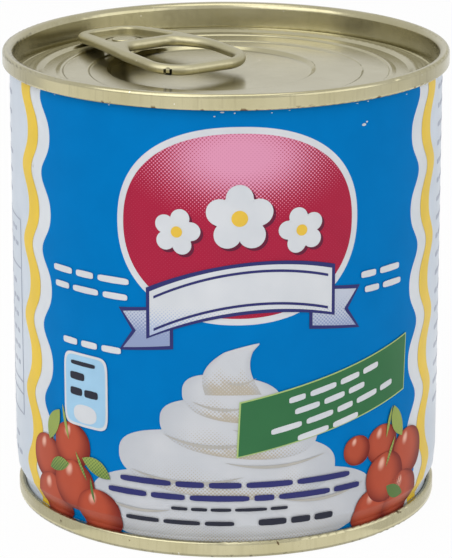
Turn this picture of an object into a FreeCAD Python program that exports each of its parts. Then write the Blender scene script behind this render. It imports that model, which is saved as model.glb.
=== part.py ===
import FreeCAD, Part
import math
import os

# Ring-pull steel food can, 73 mm diameter, about 290 ml brimful.
# Origin: centre of the base, on the surface that the can stands on.  +Z is up, -Y is the printed front.

# ---- overall sizes --------------------------------------------------------------------------------
can_height = 79.0          # crest of the lower seam to crest of the upper seam
body_radius = 36.7         # outside of the cylindrical wall
neck_draw = 1.55           # how far the wall is necked in to the base end
body_plate = 0.20          # tinplate of the wall
end_plate = 0.25           # tinplate of both ends

# ---- double seams ---------------------------------------------------------------------------------
seam_length = 2.70         # height of the finished seam
seam_gap = 0.18            # free space between the folded layers
seat_gap = 0.10            # free space between chuck wall and body wall
crest_bend = 0.50          # outer bend of the seaming panel, on the middle of the plate
chuck_bend = 0.95          # bend from the chuck wall into the seaming panel
hook_bend = 0.33           # bend of both hooks, on the middle of the plate
flange_flat = 0.03         # straight plate left between the two bends of the flange

# ---- neck of the wall -----------------------------------------------------------------------------
neck_start = 9.0           # height at which the wall leaves the cylinder
neck_crease = 5.7          # height of the visible crease
neck_crease_inset = 0.28   # how far the wall has drawn in by the crease
neck_clearance = 0.55      # straight wall left above the lower seam
headspace = 0.60           # free space between the filling and either end

# ---- easy-open end: depths are measured down from the crest to the upper face of the plate ---------
chuck_wall_lean = 0.45     # how far the chuck wall leans in from crest to countersink
countersink_depth = 4.75
countersink_width = 1.10
score_land_depth = 4.05    # flat land that carries the score
score_land_width = 1.50
score_depth = 0.10
ridge_inset = 0.80         # crest of the ridge, inwards from the land
ridge_depth = 3.86
groove_inset = 1.75        # foot of the ridge
groove_depth = 4.30
bead_inset = 4.70          # outer edge of the raised band round the panel
bead_depth = 4.00
bead_width = 0.50
bead_run = 0.75            # sloping run on the outer side of the bead
band_depth = 4.20
band_seat = 1.0            # width of the band that belongs to the bead's plate
step_inset = 9.70          # edge of the centre panel
panel_depth = 4.40
well_inset = 5.30          # edge of the finger well, inwards from the centre panel
well_offset = 3.5          # its centre, towards the rivet
well_depth = 4.95
form_slope = 36.0          # slope of the pressed walls of step and well, degrees
form_round = 0.40          # rounding of their edges

# ---- rivet that holds the tab ---------------------------------------------------------------------
rivet_inset = 8.30         # rivet inwards from the score land
rivet_azimuth = 136.6      # degrees from +X
boss_radius = 2.7
boss_flare = 0.6           # how much wider the boss is at its foot
stud_radius = 1.5
head_radius = 2.15
head_height = 0.32
rivet_fit = 0.08           # radial clearance of stud to tab

# ---- pull tab: lengths run along its own axis, from the rivet --------------------------------------
tab_turn = -11.5           # degrees that the tab sits off the radial line
nose_gap = 0.11            # free height between the ridge and the underside of the nose
tab_thickness = 1.8        # curled rim
tab_arch = 0.80            # how far the middle of the tab bows up
curl_round = 0.86          # rounding of the curled rim
nose_length = 8.0
nose_half_width = 5.9
nose_corner = 5.0
ring_length = 27.3
ring_half_width = 9.85     # at the ring end
shoulder_half_width = 9.65
shoulder_length = 13.5     # from the rivet
ring_corner = 6.2
shoulder_bend = 13.0
curl_width = 1.95          # width of the curled rim round nose and ring
bridge_length = 8.4        # from the rivet to the finger hole
hole_nose_half_width = 4.6
hole_nose_corner = 2.6
hole_bend = 9.0
web_drop = 0.75            # web below the top of the curl
web_tilt = 2.5             # slope of the web, up towards the ring, degrees
web_plate = 0.35
pocket_round = 0.40
slot_radius = 3.3          # C-shaped slot that frees the rivet tongue
slot_width = 0.55
slot_sweep = 205.0
notch_width = 1.45         # small U-shaped slit in the curl at one corner of the ring
notch_height = 1.05
notch_reach = 0.9
notch_tongue_width = 0.60
notch_tongue_height = 0.70

# ---- base end: depths are measured up from the crest -----------------------------------------------
base_lean = 0.40
base_countersink_depth = 3.90
base_countersink_width = 1.10
base_panel_depth = 3.10
base_beads = 3             # concentric expansion beads
base_bead_inset = 5.72     # middle of the outermost, inwards from the chuck wall
base_bead_pitch = 4.6
base_bead_width = 1.9
base_bead_rise = 0.50

# ---- sizes that follow ------------------------------------------------------------------------------
neck_radius = body_radius - neck_draw
tab_top_depth = ridge_depth - nose_gap - tab_thickness    # at the two ends of the tab


def unit(ax, ay, bx, by):
    """Direction from a to b and its length."""
    length = math.hypot(bx - ax, by - ay)
    return (bx - ax) / length, (by - ay) / length, length


def bent_line(corners, shift):
    """Edges of a bent line in the XZ plane, shifted sideways to its left by shift.

    corners is a list of (r, z, bend); bend is the radius on the unshifted line.
    """
    runs = [unit(a[0], a[1], b[0], b[1]) for a, b in zip(corners, corners[1:])]
    edges = []
    start = (corners[0][0] - runs[0][1] * shift, corners[0][1] + runs[0][0] * shift)
    for (r, z, bend), before, after in zip(corners[1:-1], runs, runs[1:]):
        cross = before[0] * after[1] - before[1] * after[0]
        turn = math.atan2(cross, before[0] * after[0] + before[1] * after[1])
        trim = bend * math.tan(abs(turn) / 2)
        side = 1 if cross > 0 else -1
        arc_radius = bend - side * shift
        centre = (r - before[0] * trim - side * before[1] * bend,
                  z - before[1] * trim + side * before[0] * bend)
        first = (centre[0] + side * before[1] * arc_radius, centre[1] - side * before[0] * arc_radius)
        last = (centre[0] + side * after[1] * arc_radius, centre[1] - side * after[0] * arc_radius)
        half = (before[0] + after[0], before[1] + after[1])
        scale = arc_radius / math.hypot(*half)
        middle = (centre[0] + side * half[1] * scale, centre[1] - side * half[0] * scale)
        edges.append(segment(start, first))
        edges.append(Part.Arc(spot(first), spot(middle), spot(last)).toShape())
        start = last
    end = (corners[-1][0] - runs[-1][1] * shift, corners[-1][1] + runs[-1][0] * shift)
    edges.append(segment(start, end))
    return edges, end


def spot(point):
    """Point of the XZ plane."""
    return FreeCAD.Vector(point[0], 0, point[1])


def segment(a, b):
    return Part.makeLine(spot(a), spot(b))


def plate_turned(corners, plate):
    """Solid of revolution of a bent plate whose middle line runs through corners."""
    left, left_end = bent_line(corners, plate / 2)
    right, right_end = bent_line(corners, -plate / 2)
    caps = [segment(start_of(left), start_of(right)), segment(left_end, right_end)]
    wire = Part.Wire(Part.sortEdges(left + right + caps)[0])
    return Part.Face(wire).revolve(FreeCAD.Vector(), FreeCAD.Vector(0, 0, 1), 360)


def start_of(edges):
    point = edges[0].Vertexes[0].Point
    return point.x, point.z


def turned(points):
    """Solid of revolution of a closed polygon of (r, z)."""
    ring = [spot(point) for point in points]
    face = Part.Face(Part.makePolygon(ring + ring[:1]))
    return face.revolve(FreeCAD.Vector(), FreeCAD.Vector(0, 0, 1), 360)


def seam_radii(wall_radius):
    """Middle radii of the layers folded round a wall of this outside radius."""
    chuck = wall_radius - body_plate - seat_gap - end_plate / 2
    cover_hook = wall_radius + seam_gap + end_plate / 2
    body_hook = wall_radius + 2 * seam_gap + end_plate + body_plate / 2
    seaming_wall = wall_radius + 3 * seam_gap + 1.5 * end_plate + body_plate
    return chuck, cover_hook, body_hook, seaming_wall


def end_corners(wall_radius, panel, sink_depth, sink_width, lean):
    """Middle line of a can end from its axis to the tip of the cover hook, as (r, depth, bend)."""
    chuck, cover_hook, _, seaming_wall = seam_radii(wall_radius)
    half = end_plate / 2
    hook_tip = end_plate + body_plate + 2 * seam_gap
    corners = [(r, depth + half, bend) for r, depth, bend in panel]
    corners.append((chuck - lean - sink_width, sink_depth + half, sink_width / 3))
    corners.append((chuck - lean, sink_depth + half, sink_width / 3))
    corners.append((chuck, half, chuck_bend))
    corners.append((seaming_wall, half, crest_bend))
    corners.append((seaming_wall, seam_length - half, hook_bend))
    corners.append((cover_hook, seam_length - half, hook_bend))
    corners.append((cover_hook, hook_tip, 0))
    return corners


def flange_corners(wall_radius):
    """Middle line of the flange of the wall, from hook tip to the wall, as (r, depth, bend)."""
    body_hook = seam_radii(wall_radius)[2]
    under_crest = end_plate + seam_gap + body_plate / 2
    tip = seam_length - end_plate - seam_gap
    middle = wall_radius - body_plate / 2
    flange_bend = body_hook - middle - hook_bend - flange_flat
    return [(body_hook, tip, 0), (body_hook, under_crest, hook_bend), (middle, under_crest, flange_bend)]


def can_body():
    """Wall with its necked base and both flanges, and the filling that it holds."""
    half = body_plate / 2
    top = [(r, can_height - depth, bend) for r, depth, bend in flange_corners(body_radius)]
    base = flange_corners(neck_radius)[::-1]
    straight = seam_length + neck_clearance
    wall = [(body_radius - half, neck_start, 14.0)]
    wall.append((body_radius - half - neck_crease_inset, neck_crease, 0.9))
    wall.append((neck_radius - half, straight, 0.6))
    sheet = plate_turned(top + wall + base, body_plate)
    outline = [(0, can_height), (body_radius - half, can_height)]
    outline += [(r, z) for r, z, bend in wall] + [(neck_radius - half, 0), (0, 0)]
    low = max(base_countersink_depth, base_panel_depth + base_bead_rise) + end_plate + headspace
    high = can_height - max(well_depth, countersink_depth) - end_plate - headspace
    content = Part.makeCylinder(2 * body_radius, high - low, FreeCAD.Vector(0, 0, low))
    filling = turned(outline).common(content)
    return sheet.fuse(filling).removeSplitter()


def land_edges():
    """Outer and inner radius of the score land."""
    chuck = seam_radii(body_radius)[0]
    outer = chuck - chuck_wall_lean - countersink_width - (countersink_depth - score_land_depth) * 0.5
    return outer, outer - score_land_width


def rivet_centre():
    angle = math.radians(rivet_azimuth)
    radius = land_edges()[1] - rivet_inset
    return FreeCAD.Vector(radius * math.cos(angle), radius * math.sin(angle), 0)


def tab_placement():
    """Local +X runs from the rivet to the nose, local z 0 is the crest of the upper seam."""
    origin = rivet_centre() + FreeCAD.Vector(0, 0, can_height)
    return FreeCAD.Placement(origin, FreeCAD.Rotation(FreeCAD.Vector(0, 0, 1), rivet_azimuth + tab_turn))


def form_run(drop):
    """Sideways run of a pressed wall that drops by this much."""
    return drop / math.tan(math.radians(form_slope))


def rounded_outline(corners):
    """Closed wire in the XY plane through (x, y, corner radius)."""
    ring = [FreeCAD.Vector(x, y, 0) for x, y, radius in corners]
    edges = []
    starts = []
    ends = []
    for index, (x, y, radius) in enumerate(corners):
        here = ring[index]
        back = (ring[index - 1] - here).normalize()
        ahead = (ring[(index + 1) % len(ring)] - here).normalize()
        half_angle = back.getAngle(ahead) / 2
        trim = radius / math.tan(half_angle)
        bisector = (back + ahead).normalize()
        deep = here + bisector * (radius / math.sin(half_angle) - radius)
        starts.append(here + back * trim)
        ends.append(here + ahead * trim)
        edges.append(Part.Arc(starts[-1], deep, ends[-1]).toShape())
    for index, end in enumerate(ends):
        edges.append(Part.makeLine(end, starts[(index + 1) % len(starts)]))
    return Part.Wire(Part.sortEdges(edges)[0])


def lid_panel_block():
    """Thick block whose top is the pressed centre panel inside the raised band."""
    land_inner = land_edges()[1]
    step_radius = land_inner - step_inset
    seat_radius = land_inner - bead_inset - band_seat
    block_floor = can_height - 2 * well_depth
    step_top = step_radius + form_run(panel_depth - band_depth)
    block = turned([(0, block_floor), (seat_radius, block_floor), (seat_radius, can_height - band_depth),
                    (step_top, can_height - band_depth), (step_radius, can_height - panel_depth),
                    (0, can_height - panel_depth)])
    well_radius = step_radius - well_inset
    well_drop = well_depth - panel_depth
    angle = math.radians(rivet_azimuth)
    floor = FreeCAD.Vector(well_offset * math.cos(angle), well_offset * math.sin(angle),
                           can_height - well_depth)
    well = Part.makeCone(well_radius - form_run(well_drop), well_radius + form_run(well_drop),
                         2 * well_drop, floor)
    block = block.cut(well)
    edges = [edge for edge in block.Edges
             if edge.Length > 6 * well_inset and is_press_edge(edge, seat_radius)]
    return block.makeFillet(form_round, edges)


def is_press_edge(edge, seat_radius):
    """True for the round edges of step and well, and not for the rim of the block."""
    box = edge.BoundBox
    level = box.ZMax - box.ZMin < 1e-3
    return level and box.ZMin > can_height - well_depth - 1e-3 and box.XLength < 2 * seat_radius - 0.1


def lid():
    """Easy-open end: seam, chuck wall, countersink, score, beads, pressed panel and its rivet."""
    land_outer, land_inner = land_edges()
    ridge = land_inner - ridge_inset
    groove = land_inner - groove_inset
    bead = land_inner - bead_inset
    rim = [(bead - band_seat, band_depth, 0), (bead - bead_width, band_depth, 0.3),
           (bead - bead_width / 2, bead_depth, 0.25), (bead, bead_depth, 0.25),
           (bead + bead_run, groove_depth, 0.8), (groove, groove_depth, 0.5),
           (ridge, ridge_depth, 0.75), (land_inner, score_land_depth, 0.6),
           (land_outer, score_land_depth, 0.35)]
    corners = end_corners(body_radius, rim, countersink_depth, countersink_width, chuck_wall_lean)
    ring = plate_turned([(r, can_height - depth, bend) for r, depth, bend in corners], end_plate)
    score_radius = (land_outer + land_inner) / 2
    land = can_height - score_land_depth
    score = turned([(score_radius - score_depth, land + score_depth), (score_radius, land - score_depth),
                    (score_radius + score_depth, land + score_depth)])
    block = lid_panel_block()
    under = block.copy()
    under.translate(FreeCAD.Vector(0, 0, -end_plate))
    panel = block.cut(under)
    return ring.cut(score).fuse([panel] + rivet()).removeSplitter()


def web_placement():
    """Frame on the upper face of the tab's web at the rivet, tilted as the web is."""
    drop = FreeCAD.Vector(0, 0, -tab_top_depth - web_drop)
    return tab_placement().multiply(FreeCAD.Placement(drop, FreeCAD.Rotation(FreeCAD.Vector(0, 1, 0), web_tilt)))


def rivet():
    """Boss, stud and upset head, drawn from the plate of the lid."""
    plate_floor = can_height - band_depth - end_plate
    reach = 2 * tab_thickness
    boss = Part.makeCone(boss_radius + boss_flare, boss_radius, reach,
                         rivet_centre() + FreeCAD.Vector(0, 0, plate_floor))
    above = Part.makeBox(4 * boss_radius, 4 * boss_radius, 2 * reach,
                         FreeCAD.Vector(-2 * boss_radius, -2 * boss_radius, -web_plate))
    stud = Part.makeCylinder(stud_radius, web_plate + head_height, FreeCAD.Vector(0, 0, -web_plate))
    head = Part.makeCylinder(head_radius, head_height)
    head = head.makeFillet(head_height * 0.6, [max(head.Edges, key=lambda edge: edge.CenterOfMass.z)])
    for shape in (above, stud, head):
        shape.Placement = web_placement().multiply(shape.Placement)
    return [boss.cut(above), stud, head]


def outer_outline():
    return rounded_outline([
        (-ring_length, -ring_half_width, ring_corner), (-shoulder_length, -shoulder_half_width, shoulder_bend),
        (nose_length, -nose_half_width, nose_corner), (nose_length, nose_half_width, nose_corner),
        (-shoulder_length, shoulder_half_width, shoulder_bend), (-ring_length, ring_half_width, ring_corner)])


def finger_outline():
    near = -ring_length + curl_width
    wide = shoulder_half_width - curl_width
    end = ring_half_width - curl_width
    corner = ring_corner - curl_width
    return rounded_outline([
        (near, -end, corner), (-shoulder_length, -wide, hole_bend),
        (-bridge_length, -hole_nose_half_width, hole_nose_corner),
        (-bridge_length, hole_nose_half_width, hole_nose_corner),
        (-shoulder_length, wide, hole_bend), (near, end, corner)])


def nose_pocket_outline():
    """Recess between the curls of the nose that leaves the thin web."""
    taper = (shoulder_half_width - nose_half_width) / (shoulder_length + nose_length)
    back = -bridge_length + curl_width
    front = nose_length - curl_width
    back_half = nose_half_width + taper * (nose_length - back) - curl_width
    front_half = nose_half_width + taper * curl_width - curl_width
    corner = nose_corner - curl_width
    return rounded_outline([(back, -back_half, curl_width / 2), (front, -front_half, corner),
                            (front, front_half, corner), (back, back_half, curl_width / 2)])


def raised(wire, floor, height):
    face = Part.Face(wire)
    face.translate(FreeCAD.Vector(0, 0, floor))
    return face.extrude(FreeCAD.Vector(0, 0, height))


def arched_slab():
    """Plate that bows up lengthwise, as thick as the tab and wider than it."""
    top = -tab_top_depth
    middle = (nose_length - ring_length) / 2
    side = shoulder_half_width + ring_half_width
    ends = [(nose_length, top), (middle, top + tab_arch), (-ring_length, top)]
    upper = [FreeCAD.Vector(x, -side, z) for x, z in ends]
    lower = [point - FreeCAD.Vector(0, 0, tab_thickness) for point in upper]
    edges = [Part.Arc(*upper).toShape(), Part.makeLine(upper[2], lower[2]),
             Part.Arc(*lower).toShape(), Part.makeLine(lower[0], upper[0])]
    face = Part.Face(Part.Wire(Part.sortEdges(edges)[0]))
    return face.extrude(FreeCAD.Vector(0, 2 * side, 0))


def edges_on(shape, surface):
    """Edges of a shape that lie all along on another shape."""
    found = []
    for edge in shape.Edges:
        first, last = edge.FirstParameter, edge.LastParameter
        probes = [edge.valueAt(first + (last - first) * share) for share in (0.2, 0.5, 0.8)]
        if all(surface.distToShape(Part.Vertex(probe))[0] < 1e-4 for probe in probes):
            found.append(edge)
    return found


def walls_of(wire, low, height):
    """Side walls of the prism that stands on a wire."""
    base = wire.copy()
    base.translate(FreeCAD.Vector(0, 0, low))
    return base.extrude(FreeCAD.Vector(0, 0, height))


def pull_tab():
    """Stamped ring tab: curled rim, finger hole, sunk web with rivet tongue."""
    low = -tab_top_depth - 2 * tab_thickness
    tall = 4 * tab_thickness
    slab = arched_slab()
    outer = outer_outline()
    blank = raised(outer, low, tall).common(slab)
    hole = finger_outline()
    blank = blank.makeFillet(curl_round, level_edges(blank, outer, low, tall))
    blank = blank.cut(raised(hole, low, tall))
    blank = blank.makeFillet(curl_round, level_edges(blank, hole, low, tall))
    pocket = raised(nose_pocket_outline(), low, tall)
    web = Part.makeBox(4 * nose_length, 4 * nose_half_width, web_plate,
                       FreeCAD.Vector(-2 * nose_length, -2 * nose_half_width, -web_plate))
    tilt = FreeCAD.Rotation(FreeCAD.Vector(0, 1, 0), web_tilt)
    drop = FreeCAD.Vector(0, 0, -tab_top_depth - web_drop)
    web.Placement = FreeCAD.Placement(drop, tilt).multiply(web.Placement)
    blank = blank.cut(pocket)
    blank = blank.makeFillet(pocket_round, level_edges(blank, nose_pocket_outline(), low, tall))
    blank = blank.fuse(web.common(pocket)).cut([tongue_slot(), rivet_hole(), curl_notch()])
    blank.Placement = tab_placement()
    return blank


def level_edges(shape, wire, low, height):
    """Edges of a shape along the side walls of a prism, without the upright ones."""
    return [edge for edge in edges_on(shape, walls_of(wire, low, height)) if not is_upright(edge)]


def is_upright(edge):
    box = edge.BoundBox
    return box.ZLength > 10 * max(box.XLength, box.YLength)


def tongue_slot():
    """C-shaped slot round the nose side of the rivet, with round ends."""
    depth = 2 * tab_thickness
    floor = -tab_top_depth - depth
    wide = slot_radius + slot_width / 2
    narrow = slot_radius - slot_width / 2
    ring = turned([(narrow, floor), (wide, floor), (wide, floor + depth), (narrow, floor + depth)])
    wedge_half = (360 - slot_sweep) / 2
    far = 2 * wide
    corner = far * math.tan(math.radians(wedge_half))
    wedge = raised(Part.makePolygon([FreeCAD.Vector(), FreeCAD.Vector(-far, -corner, 0),
                                     FreeCAD.Vector(-far, corner, 0), FreeCAD.Vector()]), floor, depth)
    slot = ring.cut(wedge)
    for side in (1, -1):
        angle = math.radians(side * slot_sweep / 2)
        end = FreeCAD.Vector(slot_radius * math.cos(angle), slot_radius * math.sin(angle), floor)
        slot = slot.fuse(Part.makeCylinder(slot_width * 0.75, depth, end))
    return slot


def rivet_hole():
    hole = Part.makeCylinder(stud_radius + rivet_fit, 2 * tab_thickness, FreeCAD.Vector(0, 0, -tab_thickness))
    hole.Placement = tab_placement().inverse().multiply(web_placement()).multiply(hole.Placement)
    return hole


def curl_notch():
    """U-shaped slit in the outer side of the curl, at one corner of the ring."""
    inset = ring_corner * (1 - math.sqrt(0.5))
    corner = FreeCAD.Vector(-ring_length + inset, ring_half_width - inset, -tab_top_depth - tab_thickness / 2)
    slit = Part.makeBox(2 * notch_reach, notch_width, notch_height,
                        FreeCAD.Vector(-notch_reach, -notch_width / 2, -notch_height / 2))
    tongue = Part.makeBox(2 * notch_reach, notch_tongue_width, notch_tongue_height,
                          FreeCAD.Vector(-notch_reach, -notch_tongue_width / 2,
                                         notch_height / 2 - notch_tongue_height))
    slit = slit.cut(tongue)
    slit.rotate(FreeCAD.Vector(), FreeCAD.Vector(0, 0, 1), 135)
    slit.translate(corner)
    return slit


def bottom_end():
    """Plain base end with its seam, countersink and concentric beads."""
    chuck = seam_radii(neck_radius)[0]
    panel = [(0, base_panel_depth, 0)]
    for index in reversed(range(base_beads)):
        centre = chuck - base_bead_inset - index * base_bead_pitch
        half = base_bead_width / 2
        panel.append((centre - half, base_panel_depth, 0.9))
        panel.append((centre, base_panel_depth + base_bead_rise, 0.9))
        panel.append((centre + half, base_panel_depth, 0.9))
    shoulder = chuck - base_lean - base_countersink_width
    shoulder -= (base_countersink_depth - base_panel_depth) * 0.5
    panel.append((shoulder, base_panel_depth, 0.5))
    corners = end_corners(neck_radius, panel, base_countersink_depth, base_countersink_width, base_lean)
    return plate_turned(corners, end_plate)


os.makedirs("parts", exist_ok=True)
for name, make in (("can_body", can_body), ("lid", lid), ("bottom_end", bottom_end), ("pull_tab", pull_tab)):
    shape = make()
    box = shape.BoundBox
    print(name, "valid", shape.isValid(), "solids", len(shape.Solids), "volume", round(shape.Volume, 1),
          "z", round(box.ZMin, 3), round(box.ZMax, 3), "x", round(box.XMin, 3), round(box.XMax, 3))
    shape.Solids[0].exportStep("parts/" + name + ".step")
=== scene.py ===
import math
import random

import bpy
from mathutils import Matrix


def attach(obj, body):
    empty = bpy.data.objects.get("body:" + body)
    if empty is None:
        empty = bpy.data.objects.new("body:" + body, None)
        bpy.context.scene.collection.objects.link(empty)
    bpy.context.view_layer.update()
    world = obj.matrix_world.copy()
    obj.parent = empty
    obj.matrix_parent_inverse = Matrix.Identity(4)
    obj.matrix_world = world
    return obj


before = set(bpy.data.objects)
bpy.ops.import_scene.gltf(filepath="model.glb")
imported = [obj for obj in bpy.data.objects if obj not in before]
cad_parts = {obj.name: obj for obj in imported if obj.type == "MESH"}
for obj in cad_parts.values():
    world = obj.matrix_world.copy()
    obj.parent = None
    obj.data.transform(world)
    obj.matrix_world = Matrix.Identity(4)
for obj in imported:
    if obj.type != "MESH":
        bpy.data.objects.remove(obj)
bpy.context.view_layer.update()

# ---- Camera --------------------------------------------------------------------------------------
# The can is seen from a little above, from about half a metre, with its printed front turned
# a touch to the right.
camera_place = (0, -0.5172, 0.1892)
camera_drop = 16.34          # degrees that it looks down

bpy.ops.object.select_all(action="DESELECT")
bpy.ops.object.camera_add(location=camera_place, rotation=(math.radians(90 - camera_drop), 0, 0))
camera = bpy.context.object
camera.data.sensor_width = 36
camera.data.lens = 200.4
camera.data.clip_start = 0.01
bpy.context.scene.camera = camera
bpy.context.scene.view_settings.view_transform = "Standard"

# ---- Studio --------------------------------------------------------------------------------------
# A white sweep under and behind the can, a wide lamp from the upper left and a weaker one from the
# right.  Plain cards that only reflections see give the bright metal its tones.
sweep_white = 0.96           # how white the sweep shows, where 1 is pure white
world_light = 0.55           # strength of the world as a light
lamp_aim = (0, 0, 0.04)


def seen_directly(tree):
    """Factor that is 1 for what is seen by the camera, in a reflection or through glass."""
    path = tree.nodes.new("ShaderNodeLightPath")
    seen = path.outputs["Is Camera Ray"]
    for ray in ("Is Glossy Ray", "Is Transmission Ray"):
        either = tree.nodes.new("ShaderNodeMath")
        either.operation = "MAXIMUM"
        tree.links.new(seen, either.inputs[0])
        tree.links.new(path.outputs[ray], either.inputs[1])
        seen = either.outputs[0]
    return seen


def sweep_material():
    """White paper that shows its own white, and still takes the can's shadow."""
    material = bpy.data.materials.new("white_sweep")
    material.use_nodes = True
    nodes = material.node_tree.nodes
    links = material.node_tree.links
    paper = nodes["Principled BSDF"]
    paper.inputs["Base Color"].default_value = (0.95, 0.95, 0.95, 1)
    paper.inputs["Roughness"].default_value = 0.9
    paper.inputs["Specular IOR Level"].default_value = 0.1
    white = nodes.new("ShaderNodeEmission")
    share = nodes.new("ShaderNodeMath")
    share.operation = "MULTIPLY"
    share.inputs[1].default_value = sweep_white
    links.new(seen_directly(material.node_tree), share.inputs[0])
    mix = nodes.new("ShaderNodeMixShader")
    links.new(share.outputs[0], mix.inputs["Fac"])
    links.new(paper.outputs[0], mix.inputs[1])
    links.new(white.outputs[0], mix.inputs[2])
    links.new(mix.outputs[0], nodes["Material Output"].inputs["Surface"])
    return material


bpy.ops.mesh.primitive_plane_add(size=6, location=(0, 0, 0))
sweep = bpy.context.object
sweep.name = "sweep"
sweep.data.materials.append(sweep_material())

world = bpy.data.worlds.new("studio")
bpy.context.scene.world = world
world.use_nodes = True
backdrop = world.node_tree.nodes["Background"]
backdrop.inputs["Color"].default_value = (1, 1, 1, 1)
strength = world.node_tree.nodes.new("ShaderNodeMapRange")
strength.inputs["To Min"].default_value = world_light
strength.inputs["To Max"].default_value = 1.0
world.node_tree.links.new(seen_directly(world.node_tree), strength.inputs["Value"])
world.node_tree.links.new(strength.outputs[0], backdrop.inputs["Strength"])


def lamp(name, place, size, power):
    """Square area lamp that points at the middle of the can."""
    bpy.ops.object.light_add(type="AREA", location=place)
    light = bpy.context.object
    light.name = name
    light.data.shape = "RECTANGLE"
    light.data.size = size
    light.data.size_y = size
    light.data.energy = power
    beam = [lamp_aim[axis] - place[axis] for axis in range(3)]
    tilt = math.atan2(math.hypot(beam[0], beam[1]), -beam[2])
    turn = math.atan2(beam[1], beam[0]) - math.pi / 2
    light.rotation_euler = (tilt, 0, turn)


lamp("key_lamp", (-0.55, -0.55, 0.75), size=0.9, power=5.0)
lamp("fill_lamp", (0.75, -0.45, 0.45), size=0.8, power=2.2)


def card(name, centre, size, tilt, grey):
    """Plain card that shows only in reflections."""
    bpy.ops.mesh.primitive_plane_add(size=1, location=centre, rotation=(math.radians(tilt), 0, 0))
    sheet = bpy.context.object
    sheet.name = name
    bpy.ops.transform.resize(value=(size[0], size[1], 1), orient_type="LOCAL")
    material = bpy.data.materials.new(name)
    material.use_nodes = True
    nodes = material.node_tree.nodes
    glow = nodes.new("ShaderNodeEmission")
    glow.inputs["Color"].default_value = (grey, grey * 0.99, grey * 0.95, 1)
    material.node_tree.links.new(glow.outputs[0], nodes["Material Output"].inputs["Surface"])
    sheet.data.materials.append(material)
    sheet.visible_camera = False
    sheet.visible_diffuse = False
    sheet.visible_shadow = False


card("card_behind", (0, 1.1, 0.19), (1.8, 0.17), tilt=90, grey=0.72)
card("card_front", (-0.27, -0.28, 0.0006), (1.2, 0.72), tilt=0, grey=1.45)
card("card_above", (0, -0.05, 0.95), (0.55, 0.55), tilt=180, grey=2.6)
for side, name in ((-1, "card_foot_left"), (1, "card_foot_right")):
    card(name, (0.066 * side, -0.005, 0.0009), (0.08, 0.09), tilt=0, grey=1.02)

# ---- Base end ------------------------------------------------------------------------------------
# A stamped disc of tinplate under a thin gold lacquer, seamed on to the necked wall.  Its seam
# carries the can, so the lacquer there is rubbed and flecked with rust.
tin_tint = (0.402, 0.374, 0.243)
speck_tint = (0.62, 0.61, 0.55)          # bare plate in pinholes of the lacquer
rust_tint = (0.11, 0.075, 0.04)
worn_tint = (0.16, 0.14, 0.09)


def blend_into(material, colour_socket, factor_socket, colour):
    """Lays a colour over what the shader's base colour has been given so far."""
    nodes = material.node_tree.nodes
    links = material.node_tree.links
    over = nodes.new("ShaderNodeMix")
    over.data_type = "RGBA"
    over.inputs["B"].default_value = (*colour, 1)
    links.new(factor_socket, over.inputs["Factor"])
    links.new(colour_socket, over.inputs["A"])
    links.new(over.outputs["Result"], nodes["Principled BSDF"].inputs["Base Color"])
    return over.outputs["Result"]


def flecks(material, size, start, end):
    """Factor that is 1 in scattered flecks of about this size in metres."""
    nodes = material.node_tree.nodes
    links = material.node_tree.links
    place = nodes.new("ShaderNodeTexCoord")
    noise = nodes.new("ShaderNodeTexNoise")
    noise.inputs["Scale"].default_value = 1 / size
    noise.inputs["Detail"].default_value = 3
    links.new(place.outputs["Object"], noise.inputs["Vector"])
    cut = nodes.new("ShaderNodeMapRange")
    cut.inputs["From Min"].default_value = start
    cut.inputs["From Max"].default_value = end
    links.new(noise.outputs["Fac"], cut.inputs["Value"])
    return cut.outputs[0]


def product(material, first, second):
    """Factor that is 1 only where both factors are."""
    times = material.node_tree.nodes.new("ShaderNodeMath")
    times.operation = "MULTIPLY"
    material.node_tree.links.new(first, times.inputs[0])
    material.node_tree.links.new(second, times.inputs[1])
    return times.outputs[0]


def between_heights(material, low, high, soft):
    """Factor that is 1 between two heights in millimetres and fades over soft millimetres."""
    nodes = material.node_tree.nodes
    links = material.node_tree.links
    place = nodes.new("ShaderNodeTexCoord")
    split = nodes.new("ShaderNodeSeparateXYZ")
    links.new(place.outputs["Object"], split.inputs[0])
    ends = []
    for level, sense in ((low, 1), (high, -1)):
        ramp = nodes.new("ShaderNodeMapRange")
        ramp.inputs["From Min"].default_value = (level - soft * sense) / 1000
        ramp.inputs["From Max"].default_value = level / 1000
        links.new(split.outputs["Z"], ramp.inputs["Value"])
        ends.append(ramp.outputs[0])
    return product(material, ends[0], ends[1])


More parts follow.
